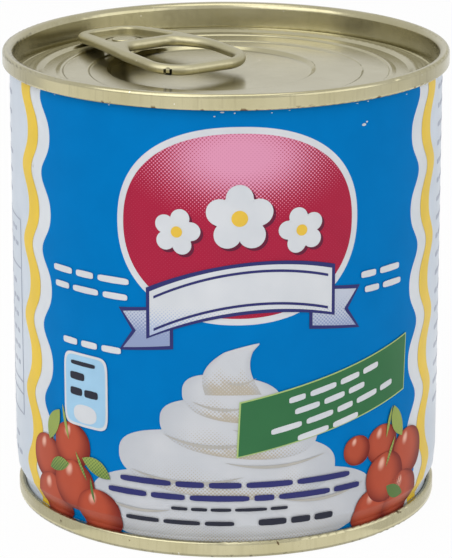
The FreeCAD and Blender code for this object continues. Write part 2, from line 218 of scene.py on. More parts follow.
def tinplate(name, tint, rough=(0.22, 0.36)):
    """Lacquered tinplate with clouds, rolled grain and rub marks on its walls.

    Gives the material and the socket of its colour, for more to be laid over it.
    """
    material = bpy.data.materials.new(name)
    material.use_nodes = True
    nodes = material.node_tree.nodes
    links = material.node_tree.links
    metal = nodes["Principled BSDF"]
    metal.inputs["Metallic"].default_value = 1.0
    place = nodes.new("ShaderNodeTexCoord")

    cloud = nodes.new("ShaderNodeTexNoise")
    cloud.inputs["Scale"].default_value = 90
    cloud.inputs["Detail"].default_value = 4
    links.new(place.outputs["Object"], cloud.inputs["Vector"])
    tone = nodes.new("ShaderNodeValToRGB")
    tone.color_ramp.elements[0].position = 0.3
    tone.color_ramp.elements[0].color = (tint[0] * 0.90, tint[1] * 0.89, tint[2] * 0.84, 1)
    tone.color_ramp.elements[1].position = 0.7
    tone.color_ramp.elements[1].color = (tint[0] * 1.07, tint[1] * 1.07, tint[2] * 1.10, 1)
    links.new(cloud.outputs["Fac"], tone.inputs["Fac"])

    rub_map = nodes.new("ShaderNodeMapping")
    rub_map.inputs["Scale"].default_value = (1500, 1500, 120)
    links.new(place.outputs["Object"], rub_map.inputs["Vector"])
    rub = nodes.new("ShaderNodeTexNoise")
    rub.inputs["Scale"].default_value = 1
    rub.inputs["Detail"].default_value = 4
    links.new(rub_map.outputs[0], rub.inputs["Vector"])
    rub_cut = nodes.new("ShaderNodeMapRange")
    rub_cut.inputs["From Min"].default_value = 0.50
    rub_cut.inputs["From Max"].default_value = 0.80
    rub_cut.inputs["To Max"].default_value = 0.36
    links.new(rub.outputs["Fac"], rub_cut.inputs["Value"])
    facing = nodes.new("ShaderNodeNewGeometry")
    normal = nodes.new("ShaderNodeSeparateXYZ")
    links.new(facing.outputs["True Normal"], normal.inputs[0])
    level_share = product(material, normal.outputs["Z"], normal.outputs["Z"])
    wall_only = nodes.new("ShaderNodeMapRange")
    wall_only.inputs["From Min"].default_value = 0.5
    wall_only.inputs["From Max"].default_value = 0.1
    links.new(level_share, wall_only.inputs["Value"])
    rubbed = product(material, rub_cut.outputs[0], wall_only.outputs[0])
    rub_tint = (tint[0] * 0.66, tint[1] * 0.64, tint[2] * 0.60)
    worn = blend_into(material, tone.outputs["Color"], rubbed, rub_tint)

    grain_map = nodes.new("ShaderNodeMapping")
    grain_map.inputs["Scale"].default_value = (500, 3500, 900)
    links.new(place.outputs["Object"], grain_map.inputs["Vector"])
    grain = nodes.new("ShaderNodeTexNoise")
    grain.inputs["Scale"].default_value = 1
    grain.inputs["Detail"].default_value = 3
    links.new(grain_map.outputs[0], grain.inputs["Vector"])
    roughness = nodes.new("ShaderNodeMapRange")
    roughness.inputs["To Min"].default_value = rough[0]
    roughness.inputs["To Max"].default_value = rough[1]
    links.new(grain.outputs["Fac"], roughness.inputs["Value"])
    links.new(roughness.outputs[0], metal.inputs["Roughness"])
    bump = nodes.new("ShaderNodeBump")
    bump.inputs["Strength"].default_value = 0.06
    bump.inputs["Distance"].default_value = 0.00005
    links.new(grain.outputs["Fac"], bump.inputs["Height"])
    links.new(bump.outputs[0], metal.inputs["Normal"])

    specks = flecks(material, size=0.0011, start=0.735, end=0.76)
    return material, blend_into(material, worn, specks, speck_tint)


def finish_node(name, material):
    """Gives a carried-over solid its finish and smooth shading."""
    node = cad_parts[name]
    node.data.materials.clear()
    node.data.materials.append(material)
    bpy.ops.object.select_all(action="DESELECT")
    node.select_set(True)
    bpy.context.view_layer.objects.active = node
    bpy.ops.object.shade_smooth_by_angle(angle=math.radians(35))


base_metal, base_colour = tinplate("base_tinplate", tin_tint)
rust_flecks = flecks(base_metal, size=0.0016, start=0.68, end=0.72)
rust_band = between_heights(base_metal, low=1.9, high=2.8, soft=0.8)
rust = product(base_metal, rust_flecks, rust_band)
base_colour = blend_into(base_metal, base_colour, rust, rust_tint)
foot_flecks = flecks(base_metal, size=0.0009, start=0.60, end=0.70)
foot_band = between_heights(base_metal, low=-0.1, high=0.35, soft=0.4)
foot_wear = product(base_metal, foot_flecks, foot_band)
blend_into(base_metal, base_colour, foot_wear, worn_tint)
finish_node("bottom_end", base_metal)

# ---- Side wall -----------------------------------------------------------------------------------
# A sheet of tinplate rolled and welded to a tube, and drawn in to a neck above the base end.  A
# white coat under the print covers it.


def ink(name, colour, rough=0.34, gloss_level=0.12):
    """Varnished ink: a base colour with a faint mottle, fine print grain and a soft gloss."""
    material = bpy.data.materials.new(name)
    material.use_nodes = True
    nodes = material.node_tree.nodes
    links = material.node_tree.links
    coat = nodes["Principled BSDF"]
    coat.inputs["Specular IOR Level"].default_value = gloss_level
    place = nodes.new("ShaderNodeTexCoord")
    mottle = nodes.new("ShaderNodeTexNoise")
    mottle.inputs["Scale"].default_value = 160
    mottle.inputs["Detail"].default_value = 5
    links.new(place.outputs["Object"], mottle.inputs["Vector"])
    tone = nodes.new("ShaderNodeValToRGB")
    tone.name = "tone"
    tone.color_ramp.elements[0].position = 0.35
    tone.color_ramp.elements[0].color = (colour[0] * 0.93, colour[1] * 0.94, colour[2] * 0.95, 1)
    tone.color_ramp.elements[1].position = 0.65
    tone.color_ramp.elements[1].color = (*colour, 1)
    links.new(mottle.outputs["Fac"], tone.inputs["Fac"])
    links.new(tone.outputs["Color"], coat.inputs["Base Color"])
    gloss = nodes.new("ShaderNodeMapRange")
    gloss.inputs["To Min"].default_value = rough - 0.04
    gloss.inputs["To Max"].default_value = rough + 0.05
    links.new(mottle.outputs["Fac"], gloss.inputs["Value"])
    links.new(gloss.outputs[0], coat.inputs["Roughness"])
    grain = nodes.new("ShaderNodeTexNoise")
    grain.inputs["Scale"].default_value = 1800
    links.new(place.outputs["Object"], grain.inputs["Vector"])
    bump = nodes.new("ShaderNodeBump")
    bump.inputs["Strength"].default_value = 0.08
    bump.inputs["Distance"].default_value = 0.00003
    links.new(grain.outputs["Fac"], bump.inputs["Height"])
    links.new(bump.outputs[0], coat.inputs["Normal"])
    return material


finish_node("can_body", ink("white_coat", (0.685, 0.715, 0.750)))

# ---- Blue field and its wavy borders -------------------------------------------------------------
# The front of the sheet is one blue field with a white and a yellow wave down each side, and a pale
# panel lies between the two fronts.  The sheet is printed before it is rolled, so each ink is drawn
# flat, in millimetres round and up the wall, and is then rolled on in a thin layer of its own.
wall_radius = 36.7
neck_radius = 35.15
neck_profile = [(9.0, wall_radius), (5.7, wall_radius - 0.28), (3.25, neck_radius), (0.0, neck_radius)]
neck_cuts = (9.0, 8.0, 7.2, 6.4, 5.9, 5.7, 5.5, 5.1, 4.6, 4.1, 3.6, 3.35, 3.15)
half_round = math.pi * wall_radius
art_turn = 1.4               # the middle of the printed front, round from the camera
print_top = 76.5             # the print runs on behind both seams
print_low = 2.5
ink_lift = 0.02              # where the layers start, above the wall
ink_step = 0.03              # rise of one layer over the one below
ink_film = 0.02              # thickness of a layer
wave_pitch = 13.1
wave_swing = 1.33
wave_ripple = 0.14           # share of a wave of half the pitch
wave_crest = 68.4
field_half = 35.8
yellow_middle = 41.22
yellow_width = 3.75
yellow_inner = yellow_middle - yellow_width / 2
yellow_outer = yellow_middle + yellow_width / 2


def wall_at(height):
    """Radius of the outside of the wall at this height."""
    if height >= neck_profile[0][0]:
        return wall_radius
    for (upper, wide), (lower, narrow) in zip(neck_profile, neck_profile[1:]):
        if height >= lower:
            return narrow + (wide - narrow) * (height - lower) / (upper - lower)
    return neck_radius


def square(columns, rows):
    """Flat grid from -1 to 1 each way, to be shaped."""
    bpy.ops.object.select_all(action="DESELECT")
    bpy.ops.mesh.primitive_grid_add(x_subdivisions=columns, y_subdivisions=rows, size=2, calc_uvs=True)
    return bpy.context.object


def flat_patch(left, right, columns, rows, low=print_low, high=print_top):
    """Flat sheet between two heights and two edges, which are functions of the height."""
    patch = square(columns, rows)
    for vertex in patch.data.vertices:
        across = (vertex.co.x + 1) / 2
        up = low + (high - low) * (vertex.co.y + 1) / 2
        start = left(up)
        vertex.co = (start + (right(up) - start) * across, up, 0)
    return patch


def joined(patches):
    """All the patches as one object."""
    bpy.ops.object.select_all(action="DESELECT")
    for patch in patches:
        patch.select_set(True)
    bpy.context.view_layer.objects.active = patches[0]
    if len(patches) > 1:
        bpy.ops.object.join()
    return patches[0]


def rolled(name, patches, layer, material, both_faces=True):
    """Joins flat patches, repeats them on the opposite face, rolls them round the wall as one ink.

    Its label map keeps the flat layout, in millimetres.
    """
    piece = joined(patches)
    piece.name = name
    piece.data.name = name
    bpy.ops.object.mode_set(mode="EDIT")
    if both_faces:
        bpy.ops.mesh.select_all(action="SELECT")
        bpy.ops.mesh.duplicate()
        bpy.ops.transform.translate(value=(half_round, 0, 0))
    if min(vertex.co.y for vertex in piece.data.vertices) < neck_profile[0][0]:
        for height in neck_cuts:
            bpy.ops.mesh.select_all(action="SELECT")
            bpy.ops.mesh.bisect(plane_co=(0, height, 0), plane_no=(0, 1, 0))
    bpy.ops.object.mode_set(mode="OBJECT")
    label = piece.data.uv_layers.new(name="label")
    for loop, uv in zip(piece.data.loops, label.data):
        spot = piece.data.vertices[loop.vertex_index].co
        uv.uv = (spot.x, spot.y)
    for vertex in piece.data.vertices:
        heading = (vertex.co.x + art_turn) / wall_radius
        height = vertex.co.y
        radius = (wall_at(height) + ink_lift + ink_step * layer) / 1000
        vertex.co = (radius * math.sin(heading), -radius * math.cos(heading), height / 1000)
    piece.data.materials.clear()
    piece.data.materials.append(material)
    film = piece.modifiers.new("film", "SOLIDIFY")
    film.thickness = ink_film / 1000
    film.offset = -1
    bpy.ops.object.select_all(action="DESELECT")
    piece.select_set(True)
    bpy.context.view_layer.objects.active = piece
    bpy.ops.object.modifier_apply(modifier="film")
    bpy.ops.object.shade_smooth_by_angle(angle=math.radians(40))
    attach(piece, "root")


def wave(height):
    """How far the border swings towards the middle of the front at this height."""
    turn = 2 * math.pi * (height - wave_crest) / wave_pitch
    return wave_swing * (math.cos(turn) - wave_ripple * math.cos(2 * turn))


def side_line(side, reach):
    """Edge of a border: side -1 is left of the front, +1 right."""
    return lambda height: side * (reach - wave(height))


def opposite_line(height):
    """Where the pale panel meets the yellow wave of the opposite front."""
    return half_round - side_line(1, yellow_outer)(height)


blue = ink("blue_ink", (0.0, 0.183, 0.515), gloss_level=0.012)
blue_field = flat_patch(side_line(-1, field_half), side_line(1, field_half), columns=72, rows=150)
rolled("ink_blue_field", [blue_field], 1, blue)
yellow = ink("yellow_ink", (0.80, 0.55, 0.045))
left_wave = flat_patch(side_line(-1, yellow_outer), side_line(-1, yellow_inner), columns=4, rows=150)
right_wave = flat_patch(side_line(1, yellow_inner), side_line(1, yellow_outer), columns=4, rows=150)
rolled("ink_yellow_waves", [left_wave, right_wave], 1, yellow)
pale = ink("pale_panel_ink", (0.60, 0.66, 0.74))
pale_panel = flat_patch(side_line(1, yellow_outer), opposite_line, columns=26, rows=150)
rolled("ink_pale_panels", [pale_panel], 1, pale)

# ---- Badge ---------------------------------------------------------------------------------------
# A plain crimson oval with a white rim, printed over the blue.  A screen of pink dots lightens its
# upper half, and three white blossoms with dark shadows stand across its middle.
badge_across = 0.8
badge_up = 57.0
badge_wide = 19.4
badge_tall = 15.4
badge_power = 2.2            # a little squarer than an ellipse
badge_rim = 1.1
sheen_pink = (0.72, 0.30, 0.45)
sheen_rise = 11.5            # its middle above the badge's
sheen_wide = 17
sheen_tall = 9
dots_in_a_mm = 2.2
dot_blur = 0.10
blossoms = [(badge_across, 58.4, 5.6, 90),            # across, up, radius and turn of each
            (badge_across - 10.2, 56.0, 3.9, 76),
            (badge_across + 10.2, 56.0, 3.9, 104)]
petal_depth = 0.34           # how far the petals part, as a share of the radius
shadow_shift = 0.45
heart_share = 0.24           # of a blossom's radius


def oval(across, up, wide, tall, columns, rows, power=2.0):
    """Flat oval; a power over 2 makes it squarer."""
    patch = square(columns, rows)
    for vertex in patch.data.vertices:
        share = math.sin(math.pi / 2 * vertex.co.y)
        half = wide * (1 - abs(share) ** power) ** (1 / power)
        vertex.co.x = across + half * vertex.co.x
        vertex.co.y = up + tall * share
    return patch


def screened(material, factor):
    """Turns a smooth factor into a screen of printed dots that grow with it."""
    nodes = material.node_tree.nodes
    links = material.node_tree.links
    label = nodes.new("ShaderNodeUVMap")
    label.uv_map = "label"
    turn = nodes.new("ShaderNodeMapping")
    turn.inputs["Rotation"].default_value = (0, 0, math.radians(45))
    links.new(label.outputs[0], turn.inputs["Vector"])
    dots = nodes.new("ShaderNodeTexVoronoi")
    dots.inputs["Scale"].default_value = dots_in_a_mm
    dots.inputs["Randomness"].default_value = 0.0
    links.new(turn.outputs[0], dots.inputs["Vector"])
    size = nodes.new("ShaderNodeMath")
    size.operation = "MULTIPLY"
    size.inputs[1].default_value = 0.75
    links.new(factor, size.inputs[0])
    margin = nodes.new("ShaderNodeMath")
    margin.operation = "SUBTRACT"
    links.new(size.outputs[0], margin.inputs[0])
    links.new(dots.outputs["Distance"], margin.inputs[1])
    edge = nodes.new("ShaderNodeMapRange")
    edge.inputs["From Min"].default_value = -dot_blur
    edge.inputs["From Max"].default_value = dot_blur
    links.new(margin.outputs[0], edge.inputs["Value"])
    return edge.outputs[0]


def badge_ink():
    """Crimson under a screen of pink dots that is thickest in the upper half."""
    material = ink("crimson_ink", (0.39, 0.011, 0.046))
    nodes = material.node_tree.nodes
    links = material.node_tree.links
    label = nodes.new("ShaderNodeUVMap")
    label.uv_map = "label"
    centre = nodes.new("ShaderNodeMapping")
    sheen_place = (-badge_across / sheen_wide, -(badge_up + sheen_rise) / sheen_tall, 0)
    centre.inputs["Location"].default_value = sheen_place
    centre.inputs["Scale"].default_value = (1 / sheen_wide, 1 / sheen_tall, 0)
    links.new(label.outputs[0], centre.inputs["Vector"])
    away = nodes.new("ShaderNodeVectorMath")
    away.operation = "LENGTH"
    links.new(centre.outputs[0], away.inputs[0])
    sheen = nodes.new("ShaderNodeMapRange")
    sheen.inputs["From Min"].default_value = 1.25
    sheen.inputs["From Max"].default_value = 0.25
    sheen.inputs["To Max"].default_value = 0.86
    links.new(away.outputs["Value"], sheen.inputs["Value"])
    dots = screened(material, sheen.outputs[0])
    blend_into(material, nodes["tone"].outputs["Color"], dots, sheen_pink)
    return material


def badge_oval(grow):
    """The badge's outline, grown all round."""
    return oval(badge_across, badge_up, badge_wide + grow, badge_tall + grow, 36, 56, badge_power)


def blossom(across, up, radius, turn):
    """Flat flower of five round petals."""
    patch = oval(0, 0, 1, 1, columns=48, rows=48)
    for vertex in patch.data.vertices:
        reach = math.hypot(vertex.co.x, vertex.co.y)
        heading = math.atan2(vertex.co.y, vertex.co.x)
        petal = abs(math.cos(2.5 * (heading - math.radians(turn)))) ** 0.75
        lobe = 1 - petal_depth + petal_depth * petal
        vertex.co.x = across + radius * reach * lobe * math.cos(heading)
        vertex.co.y = up + radius * reach * lobe * math.sin(heading)
    return patch


white = ink("white_ink", (0.665, 0.685, 0.715))
rolled("ink_badge_rim", [badge_oval(badge_rim)], 2, white)
rolled("ink_badge", [badge_oval(0)], 3, badge_ink())
shadow = ink("blossom_shadow_ink", (0.13, 0.012, 0.040))
shadows = [blossom(across + shadow_shift, up - shadow_shift, radius, turn)
           for across, up, radius, turn in blossoms]
rolled("ink_blossom_shadows", shadows, 4, shadow)
rolled("ink_blossoms", [blossom(*place) for place in blossoms], 5, white)
blossom_heart = ink("blossom_heart_ink", (0.80, 0.52, 0.060))
hearts = [oval(across, up, heart_share * radius, heart_share * radius, columns=8, rows=12)
          for across, up, radius, turn in blossoms]
rolled("ink_blossom_hearts", hearts, 6, blossom_heart)

# ---- Ribbon --------------------------------------------------------------------------------------
# A white ribbon with a navy edge and two thin stripes, printed across the lower part of the badge.
# It is bowed, and its two ends are folded back behind it.
ribbon_across = 1.2
ribbon_up = 43.6
ribbon_half = 15.2
ribbon_tall = 3.75           # half of its height
ribbon_arch = 3.0
ribbon_lean = 1.7
ribbon_edge = 0.6
stripe_rise = 2.75           # stripes above and below the middle
stripe_lean = 1.6
stripe_tall = 0.22           # half of its height
stripe_inset = 0.7
end_edge = 0.55
end_tuck = 3.4               # how far an end starts behind the ribbon
end_reach = 8.2
end_stretch = 2.4            # more reach for each millimetre of edge
end_fork = 2.4
end_drop = 2.3
end_droop = 1.1
end_lean = 1.5
end_tall = 3.1               # half of its height


def band(up, half_length, half_height, lean=ribbon_lean, rows=8):
    """Flat band that bows up in the middle and leans to one side."""
    patch = square(60, rows)
    for vertex in patch.data.vertices:
        along = vertex.co.x
        vertex.co.y = up + ribbon_arch * (1 - along * along) + lean * along + half_height * vertex.co.y
        vertex.co.x = ribbon_across + half_length * along
    return patch


def ribbon_end(side, grow):
    """Folded end of the ribbon with its swallow tail."""
    patch = square(20, 10)
    inner = ribbon_half - end_tuck - grow
    reach = end_reach + end_stretch * grow
    for vertex in patch.data.vertices:
        along = (vertex.co.x + 1) / 2
        fork = end_fork * along ** 4 * (1 - abs(vertex.co.y))
        level = ribbon_up - end_drop - end_droop * along + end_lean * side
        vertex.co.y = level + (end_tall + grow) * vertex.co.y
        vertex.co.x = ribbon_across + side * (inner + reach * along - fork)
    if side < 0:
        bpy.ops.object.mode_set(mode="EDIT")
        bpy.ops.mesh.select_all(action="SELECT")
        bpy.ops.mesh.flip_normals()
        bpy.ops.object.mode_set(mode="OBJECT")
    return patch


def shaded_ink(name, colour, shade, low, high):
    """Ink printed over a fine screen of dots that darkens it from one height down to another."""
    material = ink(name, colour)
    nodes = material.node_tree.nodes
    links = material.node_tree.links
    label = nodes.new("ShaderNodeUVMap")
    label.uv_map = "label"
    split = nodes.new("ShaderNodeSeparateXYZ")
    links.new(label.outputs[0], split.inputs[0])
    depth = nodes.new("ShaderNodeMapRange")
    depth.inputs["From Min"].default_value = high
    depth.inputs["From Max"].default_value = low
    links.new(split.outputs["Y"], depth.inputs["Value"])
    dots = screened(material, depth.outputs[0])
    blend_into(material, nodes["tone"].outputs["Color"], dots, shade)
    return material


navy = ink("navy_ink", (0.030, 0.032, 0.150))
rolled("ink_ribbon_end_edges", [ribbon_end(-1, end_edge), ribbon_end(1, end_edge)], 4, navy)
ribbon_shade = shaded_ink("ribbon_end_ink", (0.52, 0.56, 0.66), (0.27, 0.33, 0.52), 37.0, 44.5)
rolled("ink_ribbon_ends", [ribbon_end(-1, 0.0), ribbon_end(1, 0.0)], 5, ribbon_shade)
rolled("ink_ribbon_edge", [band(ribbon_up, ribbon_half + ribbon_edge, ribbon_tall + ribbon_edge)], 6, navy)
ribbon_face = shaded_ink("ribbon_ink", (0.67, 0.69, 0.72), (0.42, 0.49, 0.66), 38.0, 44.0)
rolled("ink_ribbon", [band(ribbon_up, ribbon_half, ribbon_tall)], 7, ribbon_face)
stripes = [band(ribbon_up + rise, ribbon_half - stripe_inset, stripe_tall, stripe_lean, 2)
           for rise in (stripe_rise, -stripe_rise)]
rolled("ink_ribbon_stripes", stripes, 8, navy)

# ---- Piped cream ---------------------------------------------------------------------------------
# A round of piped cream in four turns under a curled tip.  Each turn is printed white, with a
# screen of beige dots under its lip and soft grey at its two ends.
cream_beige = (0.46, 0.41, 0.33)
cream_grey = (0.42, 0.45, 0.50)
# across, up, half width, half height and slope of each turn, from the bottom
cream_turns = [(0.0, 8.4, 25.5, 7.6, 0.00), (-1.2, 16.4, 18.6, 5.8, -0.06),
               (0.8, 22.6, 13.2, 5.0, -0.10), (-0.4, 27.9, 8.2, 4.0, -0.13)]
# across, up, half length, thickness, bow and slope of each fold
cream_folds = [(-8.0, 14.6, 9.5, 0.55, 1.4, -0.02), (7.0, 17.2, 8.6, 0.50, 1.2, 0.03),
               (-4.6, 20.9, 7.2, 0.50, 1.2, -0.08), (5.4, 22.8, 5.8, 0.45, 0.9, 0.02),
               (-2.4, 27.0, 4.6, 0.45, 0.9, -0.10), (1.0, 31.2, 2.6, 0.40, 0.7, 0.10),
               (15.5, 10.6, 7.6, 0.50, 1.1, 0.05), (-17.0, 8.6, 6.4, 0.50, 0.9, -0.05)]
tip_across = -0.2
tip_foot = 28.6
tip_rise = 9.8
tip_half = 4.6
tip_sway = 1.3               # it leans left on the way up
tip_curl = 4.2               # and ends this far to the right
tip_droop = 4.0              # flattens the last quarter of the rise


def cream_ink(name, warm):
    """White with beige dots, up to this share, under the lip and grey towards both ends."""
    material = ink(name, (0.60, 0.615, 0.645))
    nodes = material.node_tree.nodes
    links = material.node_tree.links
    local = nodes.new("ShaderNodeUVMap")
    local.uv_map = "UVMap"
    split = nodes.new("ShaderNodeSeparateXYZ")
    links.new(local.outputs[0], split.inputs[0])
    wander = nodes.new("ShaderNodeTexNoise")
    wander.inputs["Scale"].default_value = 3.5
    wander.inputs["Detail"].default_value = 2
    links.new(local.outputs[0], wander.inputs["Vector"])
    level = nodes.new("ShaderNodeMath")
    level.operation = "MULTIPLY_ADD"
    level.inputs[1].default_value = 0.55
    links.new(wander.outputs["Fac"], level.inputs[0])
    links.new(split.outputs["Y"], level.inputs[2])
    lip = nodes.new("ShaderNodeMapRange")
    lip.interpolation_type = "SMOOTHSTEP"
    lip.inputs["From Min"].default_value = 0.78
    lip.inputs["From Max"].default_value = 0.30
    lip.inputs["To Max"].default_value = warm
    links.new(level.outputs[0], lip.inputs["Value"])
    dots = screened(material, lip.outputs[0])
    colour = blend_into(material, nodes["tone"].outputs["Color"], dots, cream_beige)
    off_middle = nodes.new("ShaderNodeMath")
    off_middle.operation = "SUBTRACT"
    off_middle.inputs[1].default_value = 0.5
    links.new(split.outputs["X"], off_middle.inputs[0])
    both_ends = nodes.new("ShaderNodeMath")
    both_ends.operation = "ABSOLUTE"
    links.new(off_middle.outputs[0], both_ends.inputs[0])
    ends = nodes.new("ShaderNodeMapRange")
    ends.interpolation_type = "SMOOTHSTEP"
    ends.inputs["From Min"].default_value = 0.30
    ends.inputs["From Max"].default_value = 0.50
    ends.inputs["To Max"].default_value = 0.45
    links.new(both_ends.outputs[0], ends.inputs["Value"])
    blend_into(material, colour, ends.outputs[0], cream_grey)
    return material


def cream_turn(across, up, wide, tall, slope):
    """One turn of cream, sloped along its length and cut off where the print ends."""
    patch = oval(across, up, wide, tall, columns=44, rows=40, power=2.5)
    for vertex in patch.data.vertices:
        vertex.co.y = max(print_low, vertex.co.y + slope * (vertex.co.x - across))
    return patch


def cream_tip():
    """The last of the cream, drawn up to a point that curls to the right."""
    patch = square(14, 40)
    for vertex in patch.data.vertices:
        rise = (vertex.co.y + 1) / 2
        half = tip_half * (1 - rise) ** 0.75 * (1 + 0.55 * rise)
        centre = tip_across - tip_sway * math.sin(math.pi * rise) + tip_curl * rise ** 3
        vertex.co.x = centre + half * vertex.co.x
        vertex.co.y = tip_foot + tip_rise * rise - tip_droop * max(0.0, rise - 0.75)
    return patch


def crescent(across, up, half_length, thick, bow, slope):
    """Soft fold: a thin bowed mark with pointed ends."""
    patch = square(40, 4)
    for vertex in patch.data.vertices:
        along = vertex.co.x
        full = 1 - along * along
        vertex.co.y = up - bow * full + slope * half_length * along + 0.5 * thick * full * vertex.co.y
        vertex.co.x = across + half_length * along
    return patch


for index, shape in enumerate(cream_turns):
    turn_ink = cream_ink("cream_ink_%d" % (index + 1), 0.55 + 0.12 * index)
    rolled("ink_cream_turn_%d" % (index + 1), [cream_turn(*shape)], 2 + index, turn_ink)
rolled("ink_cream_tip", [cream_tip()], 6, cream_ink("cream_ink_tip", 0.8))
fold = ink("cream_fold_ink", (0.47, 0.45, 0.41))
rolled("ink_cream_folds", [crescent(*shape) for shape in cream_folds], 7, fold)

# ---- Rows of small type --------------------------------------------------------------------------
# Where the sheet carries small print it has rows of plain round-ended dashes, each as long as a
# word, in white ink on the blue and in navy and black on the cream.
word_lengths = random.Random(7)
# start, end, height, thickness, shortest and longest dash, and the gap if it isn't the usual one
white_rows = [(-33.6, -16.4, 46.8, 1.15, 3.0, 7.5), (-33.2, -17.4, 44.1, 1.1, 3.0, 7.5),
              (22.2, 34.0, 46.9, 1.15, 3.0, 6.5), (23.0, 33.4, 44.3, 1.1, 3.0, 6.5),
              (-31.4, -19.2, 34.8, 1.15, 3.0, 6.5)]
navy_rows = [(-19.5, 21.5, 13.0, 1.05, 4.0, 10.0, 0.8), (-21.8, 23.8, 10.7, 1.05, 3.0, 10.0, 0.8)]
black_rows = [(-10.5, 11.5, 8.7, 0.6, 2.2, 6.0, 0.6), (-18.6, 2.0, 6.2, 0.8, 3.0, 8.0, 0.8),
              (4.0, 18.6, 6.3, 1.2, 3.2, 6.0, 0.8)]


def dashes(start, end, up, tall, shortest, longest, gap=0.95, lean=0.0):
    """Flat round-ended dashes of uneven length in one row."""
    patches = []
    here = start
    while here < end - shortest:
        length = min(word_lengths.uniform(shortest, longest), end - here)
        columns = max(4, int(length / 0.5))
        patch = oval(here + length / 2, 0, length / 2, tall / 2, columns, rows=8, power=5.0)
        for vertex in patch.data.vertices:
            vertex.co.y += up + lean * (vertex.co.x - start)
        patches.append(patch)
        here += length + gap
    return patches


def type_rows(rows):
    """Dashes of several rows, each given as dashes() takes it."""
    return [dash for row in rows for dash in dashes(*row)]


rolled("ink_white_rows", type_rows(white_rows), 7.5, white)
rolled("ink_navy_rows", type_rows(navy_rows), 9.5, navy)
black = ink("black_ink", (0.022, 0.024, 0.040))
rolled("ink_black_rows", type_rows(black_rows), 9.5, black)

# ---- Green banner --------------------------------------------------------------------------------
# A slanted green strip with a pale edge, printed across the right of the cream, with four rows of
# white dashes that follow its slant.
banner_left = (0.6, 18.0)
banner_right = (32.8, 25.0)
banner_lean = (banner_right[1] - banner_left[1]) / (banner_right[0] - banner_left[0])
banner_shear = 0.05          # how far its ends lean out of upright
banner_rows = [(start, end, up, 1.05, 2, 6, 0.85, banner_lean)
               for start, end, up in ((9.0, 27.0, 27.2), (10.0, 25.5, 25.2),
                                      (6.0, 29.5, 22.0), (10.5, 24.0, 20.6))]


def slanted(low_left, low_right, tall_left, tall_right):
    """Four-sided strip that stands on two lower corners."""
    patch = square(36, 8)
    for vertex in patch.data.vertices:
        along = (vertex.co.x + 1) / 2
        share = (vertex.co.y + 1) / 2
        low = low_left[1] + (low_right[1] - low_left[1]) * along
        tall = tall_left + (tall_right - tall_left) * along
        vertex.co.x = low_left[0] + (low_right[0] - low_left[0]) * along + banner_shear * tall * share
        vertex.co.y = low + tall * share
    return patch


banner_edge = ink("banner_edge_ink", (0.42, 0.56, 0.20))
rolled("ink_banner_edge", [slanted((0.3, 17.75), (33.0, 24.8), 9.65, 9.85)], 8, banner_edge)
green = ink("green_ink", (0.034, 0.155, 0.058))
rolled("ink_green_banner", [slanted(banner_left, banner_right, 9.2, 9.4)], 9, green)
rolled("ink_banner_rows", type_rows(banner_rows), 10, white)

# ---- Value box -----------------------------------------------------------------------------------
# A light blue box with rounded corners and a white rim, printed left of the cream.  It has black
# dashes and a white oval at its foot.
box_across = -26.6
box_up = 26.6
box_wide = 4.3               # half of its width
box_tall = 5.95              # half of its height
box_rim = 0.45
box_oval_up = 22.5
box_rows = [(-29.6, -24.2, 31.2, 0.75, 5, 6), (-29.8, -23.6, 28.9, 1.35, 2.6, 3.2, 0.5),
            (-29.8, -23.4, 26.2, 1.35, 2.6, 3.2, 0.5), (-27.6, -25.6, box_oval_up, 0.8, 2, 2)]


def box_outline(grow):
    """The box with its rounded corners, grown all round."""
    return oval(box_across, box_up, box_wide + grow, box_tall + grow, columns=16, rows=40, power=7.0)


rolled("ink_box_rim", [box_outline(box_rim)], 7, white)
sky = ink("sky_ink", (0.36, 0.60, 0.80))
rolled("ink_box", [box_outline(0)], 8, sky)
box_oval = oval(box_across, box_oval_up, wide=2.5, tall=1.6, columns=12, rows=20, power=2.4)
rolled("ink_box_oval", [box_oval], 9, white)
rolled("ink_box_rows", type_rows(box_rows), 10, black)

# ---- Cherries ------------------------------------------------------------------------------------
# Ripe cherries with stalks and leaves, printed in the two lower corners of the front.  They overlap,
# so they lie in five layers.
cherry_layers = [[(-36.6, 12.6, 4.0), (27.6, 16.4, 3.5)],      # across, up and radius of each
                 [(-29.8, 16.4, 4.0), (21.8, 16.6, 2.6)],
                 [(34.8, 13.4, 4.2), (-35.2, 5.6, 4.4)],
                 [(26.0, 4.9, 4.3), (-29.4, 9.3, 4.5)],
                 [(33.2, 5.9, 4.4), (-24.2, 5.4, 4.4), (28.4, 10.4, 4.4)]]
# across, up, length, width and turn of each leaf and stalk
leaves = [(-34.2, 19.0, 6.6, 2.8, 64), (-24.4, 13.4, 6.4, 2.7, -24), (31.6, 19.6, 6.4, 2.7, 112),
          (-33.0, 12.0, 5.4, 2.4, 20), (31.0, 7.4, 5.4, 2.3, 152)]
stalks = [(-31.2, 20.2, 6.0, 0.6, 104), (-27.6, 13.2, 5.2, 0.55, 118), (29.2, 20.0, 5.4, 0.6, 74),
          (29.6, 14.6, 5.4, 0.55, 64), (-25.2, 9.4, 4.4, 0.5, 100)]


